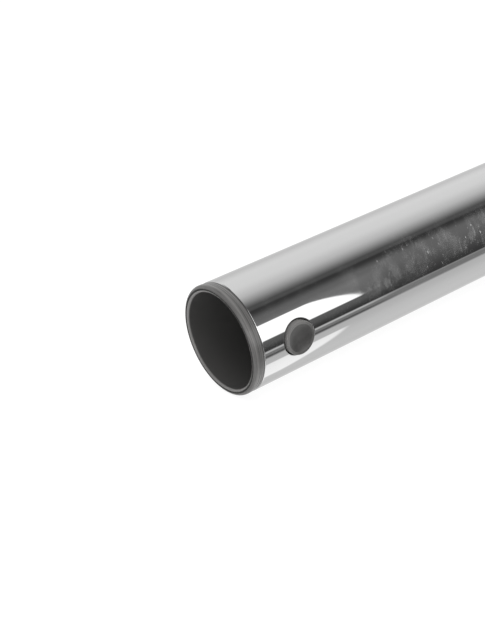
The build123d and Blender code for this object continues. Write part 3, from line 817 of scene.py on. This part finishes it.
def slider_spring(node):
    """A compression spring with closed ends. How far it would shorten when the slider is pushed is worked out, but
    not used.
    """
    low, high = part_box(node)
    wire = spring_wire
    whole = high.x - low.x
    centre = (low + high) / 2
    radius = (high.y - low.y) / 2 - wire
    closed_rise = 2 * wire
    open_length = whole - 2 * wire - 2 * closed_turns * closed_rise
    open_rise = open_length / (spring_turns - 2 * closed_turns)
    steps = 36
    around = 12
    skin = bmesh.new()
    rings = []
    for step in range(spring_turns * steps + 1):
        turned = step / steps
        closed = min(turned, closed_turns) + max(turned - spring_turns + closed_turns, 0)
        x = low.x + wire + closed * closed_rise + (turned - closed) * open_rise
        angle = turned * 2 * math.pi
        out = Vector((0, math.cos(angle), math.sin(angle)))
        at_end = turned < closed_turns or turned > spring_turns - closed_turns
        rise = Vector((closed_rise if at_end else open_rise, 0, 0))
        round_way = Vector((0, -math.sin(angle), math.cos(angle)))
        tangent = rise + round_way * (radius * 2 * math.pi)
        side = tangent.normalized().cross(out)
        middle = Vector((x, centre.y, centre.z)) + out * radius
        ring = []
        for column in range(around):
            lean = column / around * 2 * math.pi
            point = middle + (out * math.cos(lean) + side * math.sin(lean)) * wire
            ring.append(skin.verts.new(point))
        rings.append(ring)
    close_tube(skin, rings)
    made = placed(skin, node + "_coil", "spring_steel", smooth_below=60)
    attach(made, "wand")
    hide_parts(node)
    pushed = whole - travel_of("slider_push") - spring_margin
    pushed / whole
    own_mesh(made)


def button_leaf():
    """The steel leaf under the button, with a hole near its end."""
    low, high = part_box("button_spring")
    half = (high.z - low.z) / 2
    corner = half / 2
    cells = 52
    across = 8
    skin = bmesh.new()
    sides = []
    for y in (low.y, high.y):
        rows = []
        for cell in range(cells + 1):
            x = low.x + (high.x - low.x) * cell / cells
            past = max(low.x + corner - x, x - high.x + corner, 0)
            reach = half - corner + math.sqrt(max(corner**2 - past**2, 0))
            heights = [reach * (2 * row / across - 1) for row in range(across + 1)]
            rows.append([skin.verts.new((x, y, z)) for z in heights])
        sides.append(rows)
    for rows in sides:
        for one, two in zip(rows, rows[1:]):
            for row in range(across):
                skin.faces.new((one[row], one[row + 1], two[row + 1], two[row]))
    above, below = sides
    border = border_of(cells, 0, across)
    for (cell, row), (cell_after, row_after) in zip(border, border[1:] + border[:1]):
        one, two = above[cell][row], above[cell_after][row_after]
        skin.faces.new((one, two, below[cell_after][row_after], below[cell][row]))
    made = placed(skin, "button_leaf", "spring_steel")
    stake = Vector((high.x - leaf_end_margin, (low.y + high.y) / 2, 0))
    punch = bmesh.new()
    bmesh.ops.create_cone(
        punch,
        cap_ends=True,
        segments=40,
        radius1=leaf_hole,
        radius2=leaf_hole,
        depth=2 * mm,
        matrix=Matrix.Translation(stake) @ Matrix.Rotation(math.pi / 2, 4, "X"),
    )
    shape_with(made, punch, "DIFFERENCE")
    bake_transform(made)
    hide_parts("button_spring")


def button_ears(low, high):
    """A bar across the button's foot, whose two ends lie under the tube's wall and follow it."""
    reach = (high.x - low.x) / 2
    half = button_ear_width / 2
    cells = 12
    made = bmesh.new()
    slices = []
    for cell in range(cells + 1):
        z = half * (2 * cell / cells - 1)
        side = math.sqrt(reach**2 - z**2)
        top = -math.sqrt(button_ear_top**2 - z**2)
        corners = ((-side, top), (side, top), (side, high.y), (-side, high.y))
        slices.append([made.verts.new((button_x + x, y, z)) for x, y in corners])
    close_tube(made, slices)
    bmesh.ops.recalc_face_normals(made, faces=made.faces)
    return made


def lock_button():
    """The lock button: a dished head with a rounded rim, and two ears under the tube's wall."""
    low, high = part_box("lock_button")
    centre = Vector((button_x, low.y, 0))
    radius = (high.z - low.z) / 2
    rim = radius - button_rim
    depth = high.y - low.y
    bowl = (rim**2 + button_depth**2) / (2 * button_depth)
    profile = []
    dish_steps = 14
    for step in range(dish_steps + 1):
        reach = max(rim * step / dish_steps, button_middle)
        profile.append((reach, button_depth - bowl + math.sqrt(bowl**2 - reach**2)))
    profile.append((rim + button_crest, 0.0))
    for step in range(corner_steps + 1):
        lean = step / corner_steps * math.pi / 2
        reach = radius - button_round * (1 - math.sin(lean))
        profile.append((reach, button_round * (1 - math.cos(lean))))
    foot = radius - button_foot
    profile += [(radius, depth / 2), (radius, depth - button_foot), (foot, depth)]
    head = bmesh.new()
    lathe(head, profile, centre, 96)
    made = placed(head, "lock_button_head", "button_moulding")
    shape_with(made, button_ears(low, high), "UNION")
    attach(made, "button")
    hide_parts("lock_button")


def shape_with(made, tool, operation):
    """Joins a bmesh to an object's mesh, or cuts it out."""
    mesh = bpy.data.meshes.new("tool")
    tool.to_mesh(mesh)
    tool.free()
    cutter = bpy.data.objects.new("tool", mesh)
    bpy.context.scene.collection.objects.link(cutter)
    change = made.modifiers.new("tool", "BOOLEAN")
    change.operation = operation
    change.object = cutter
    change.solver = "EXACT"
    graph = bpy.context.evaluated_depsgraph_get()
    name = made.data.name
    finished = bpy.data.meshes.new_from_object(made.evaluated_get(graph))
    made.modifiers.clear()
    made.data = finished
    finished.name = name
    bpy.data.objects.remove(cutter)
    finished.shade_smooth()
    finished.set_sharp_from_angle(angle=math.radians(sharp_from))


def lathe(skin, profile, centre, around, radius_at=None):
    """Turns a profile of (radius, depth) about a line along Y, and closes its two ends.

    radius_at may change a radius, by its depth and by the angle it is turned to.
    """
    rings = []
    for radius, depth in profile:
        ring = []
        for column in range(around):
            angle = column / around * 2 * math.pi
            reach = radius_at(radius, depth, angle) if radius_at else radius
            point = Vector((reach * math.cos(angle), depth, reach * math.sin(angle))) + centre
            ring.append(skin.verts.new(point))
        rings.append(ring)
    close_tube(skin, rings)


def cross_recess(centre):
    """A tapered cross, which cuts a driver's recess into a screw head."""
    arm = recess_arm
    half = recess_half
    outline = []
    for quarter in range(4):
        turned = Quaternion((0, 1, 0), quarter * math.pi / 2)
        for x, z in ((half, half), (arm, half), (arm, -half)):
            outline.append(turned @ Vector((x, 0, z)))
    made = bmesh.new()

    # The outline's size at two depths: a little above the head, and at the recess's floor
    sections = []
    for size, depth in ((1.06, -0.2 * mm), (0.35, recess_depth)):
        place = centre + Vector((0, depth, 0))
        sections.append([made.verts.new(place + point * size) for point in outline])
    close_tube(made, sections)
    bmesh.ops.recalc_face_normals(made, faces=made.faces)
    return made


def cover_screw(name, centre):
    """A countersunk screw with a cross recess and a rolled thread."""
    thread_end = screw_length - screw_tip

    def thread(radius, depth, angle):
        if depth < screw_head_depth or depth > thread_end:
            return radius
        climbed = (depth / screw_pitch + angle / (2 * math.pi)) % 1
        return radius - (screw_radius - screw_core) * (1 - abs(2 * climbed - 1))

    soft = screw_head_round
    profile = [
        (screw_head_radius * 0.7, 0.0),
        (screw_head_radius - soft, 0.0),
        (screw_head_radius, soft * 0.7),
        (screw_head_radius - soft * 0.5, soft * 2),
        (screw_radius + soft, screw_head_depth - soft),
    ]
    rows = 42
    run = thread_end - screw_head_depth
    profile += [(screw_radius, screw_head_depth + run * row / rows) for row in range(rows + 1)]
    profile.append((screw_core * 0.8, screw_length - screw_tip * 0.4))
    profile.append((screw_core * 0.3, screw_length))
    skin = bmesh.new()
    lathe(skin, profile, centre, 64, thread)
    made = placed(skin, name, "screw_steel")
    shape_with(made, cross_recess(centre), "DIFFERENCE")
    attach(made, "wand")
    return made


def cover_screws():
    """The two screws of the collar's cover, where the CAD has them."""
    low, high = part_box("cover_screws")
    places = (low.x + screw_head_radius, high.x - screw_head_radius)
    for number, x in enumerate(places, 1):
        made = cover_screw(f"cover_screw_{number}", Vector((x, low.y, 0)))
        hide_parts("cover_screws")


def soft_box(along, angle, end, reach, foot, height, soft):
    """A lamp seen in the chrome: straight at its foot, and drawn to a point at its far end."""
    past = (along - (end - reach)) / reach
    rise = (angle - foot) / height
    over = past.above_zero() ** 1.4 + rise.above_zero() ** 1.4
    return (1 - over).step(0, soft) * rise.step(-0.06, 0.02)


def studio_world():
    """White walls with a dark opening on the camera's side, seen in the chrome.

    Angles run round the wand in degrees, 0 towards -Y and 90 upwards, and along goes from -1
    straight beyond the handle end to 1 straight beyond the tool end.
    """
    world = bpy.data.worlds.new("studio")
    bpy.context.scene.world = world
    tree = Tree(world)
    way = tree.node("ShaderNodeTexCoord", output="Generated")
    along = tree.node("ShaderNodeSeparateXYZ", {}, {"Vector": way}, output="X")
    height = along.other("Z")
    front = 0 - along.other("Y")
    angle = height.math("ARCTAN2", height, front) * (180 / math.pi)

    # The walls, and in their opening a dim room, a grey card and a pale edge
    walls = 0.76 + band(angle, -105, -60, 15) * 0.12 + band(angle, 100, 160, 20) * 0.35
    opening = angle.step(-46, -40.5) * (1 - angle.step(58, 94))
    room = 0.06 + angle.step(-30, 30) * (1 - angle.step(36, 54)) * 0.15
    card = (1 - angle.step(-30, -27.5)) * 0.24 + band(angle, -31.5, -28.5, 0.8) * 0.09
    edge = band(angle, 57, 63, 1.5) * 0.05
    level = walls + opening * (room + card + edge - walls)

    # What the chrome beside the lock button mirrors: a lit strip, a seam and spilled light
    near = 1 - along.step(0.575, 0.61)
    strip = band(angle, -33.0, -29.4, 0.7) * 0.38
    dark_line = band(angle, -43.5, -38.5, 1.8) * 0.17
    spill = band(angle, -20.0, 30.0, 6.0) * 0.07
    level = level + near * (strip - dark_line + spill)

    # Dark screens behind the wand and beyond its handle end, and two lamps beyond its ends
    behind = 1 - along.step(0.2, 0.38)
    screens = band(angle, 112, 134, 4) + band(angle, -166, -146, 4)
    level = level * (1 - behind * screens * 0.88)
    left = 1 - along.step(-0.72, -0.58)
    level = level * (1 - left * band(angle, 78, 150, 12) * 0.85)
    right = along.step(0.74, 0.84)
    side = left * band(angle, -8, 66, 8) * 1.7 + right * band(angle, -70, 60, 10)

    # The two soft lamps on the camera's side
    lamp = soft_box(along, angle, 0.582, 0.04, -6.0, 32.0, 0.1)
    glow = soft_box(along, angle, 0.566, 0.06, -58.8, -35.0, 0.2)
    glossy = level + side + lamp * 1.8 + glow * 0.62

    # Plastics and felt are lit evenly, and the camera sees white
    ray = tree.node("ShaderNodeLightPath", output="Is Camera Ray")
    diffuse = ray.other("Is Diffuse Ray")
    soft = glossy + (0.8 - glossy) * diffuse
    strength = soft + (1 - soft) * ray
    shader = tree.node("ShaderNodeBackground", {}, {"Color": (1, 1, 1, 1), "Strength": strength})
    tree.node("ShaderNodeOutputWorld", {}, {"Surface": shader})


def studio_floor():
    """A white table. The wand lies on its mouth's flange and on the collar's flat side."""
    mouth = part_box("socket_liner")[0]
    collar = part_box("collar_body")[0]
    slope = math.atan2(mouth.z - collar.z, collar_flat - mouth.x)
    along = Vector((math.cos(slope), 0, -math.sin(slope))) * table_half
    across = Vector((0, table_half, 0))
    corners = [along * x + across * y for x, y in ((-1, -1), (1, -1), (1, 1), (-1, 1))]
    mesh = bpy.data.meshes.new("table")
    mesh.from_pydata(corners, [], [(0, 1, 2, 3)])
    table = bpy.data.objects.new("table", mesh)
    table.location = (mouth.x, 0, mouth.z - table_gap)
    bpy.context.scene.collection.objects.link(table)
    table.visible_glossy = False
    made = bpy.data.materials.new("table_white")
    tree = Tree(made)
    lit = tree.node("ShaderNodeBsdfDiffuse", {}, {"Color": grey(0.9)})
    plain = tree.node("ShaderNodeEmission", {}, {"Color": grey(1.0), "Strength": 1.12})
    ray = tree.node("ShaderNodeLightPath", output="Is Camera Ray")
    seen = tree.node("ShaderNodeMixShader", {}, {0: ray * 0.8, 1: lit, 2: plain})
    back = tree.node("ShaderNodeNewGeometry", output="Backfacing")
    clear = tree.node("ShaderNodeBsdfTransparent")
    shown = tree.node("ShaderNodeMixShader", {}, {0: back, 1: seen, 2: clear})
    tree.node("ShaderNodeOutputMaterial", {}, {"Surface": shown})
    mesh.materials.append(made)


def studio_lamps():
    """One large soft lamp overhead, for the plastics and the table."""
    light = bpy.data.lights.new("overhead", "AREA")
    light.shape = "RECTANGLE"
    light.size = 1.6
    light.size_y = 1.2
    light.energy = 12.0
    lamp = bpy.data.objects.new("overhead", light)
    lamp.location = (0.1, -0.5, 1.4)
    lamp.rotation_mode = "QUATERNION"
    lamp.rotation_quaternion = (Vector((0.2, 0, 0)) - lamp.location).to_track_quat("-Z", "Y")
    lamp.visible_glossy = False
    bpy.context.scene.collection.objects.link(lamp)


def photo_camera():
    """The camera of the photograph, which has the mouth's centre at its pixel."""
    azimuth = math.radians(camera_azimuth)
    elevation = math.radians(camera_elevation)
    level = math.cos(elevation)
    forward = Vector((-math.sin(azimuth) * level, math.cos(azimuth) * level, -math.sin(elevation)))
    turned = forward.to_track_quat("-Z", "Y") @ Quaternion((0, 0, 1), math.radians(camera_roll))
    right = turned @ Vector((1, 0, 0))
    up = turned @ Vector((0, 1, 0))
    across = (mouth_pixel[0] - photo_size[0] / 2) / focal_pixels
    down = (mouth_pixel[1] - photo_size[1] / 2) / focal_pixels
    camera_data = bpy.data.cameras.new("photo")
    camera_data.sensor_width = sensor
    camera_data.lens = focal_pixels * sensor / max(photo_size)
    camera_data.clip_start = 0.01
    camera = bpy.data.objects.new("photo", camera_data)
    camera.rotation_mode = "QUATERNION"
    camera.rotation_quaternion = turned
    camera.location = -mouth_depth * (forward + right * across - up * down)
    bpy.context.scene.collection.objects.link(camera)
    bpy.context.scene.camera = camera


dress()
outer_tube_skin()
inner_tube_skin()
cover_screws()
for side in ("left", "right"):
    slider_spring("slider_spring_" + side)
button_leaf()
lock_button()
studio_world()
studio_floor()
studio_lamps()
photo_camera()
bpy.context.scene.view_settings.view_transform = "Standard"
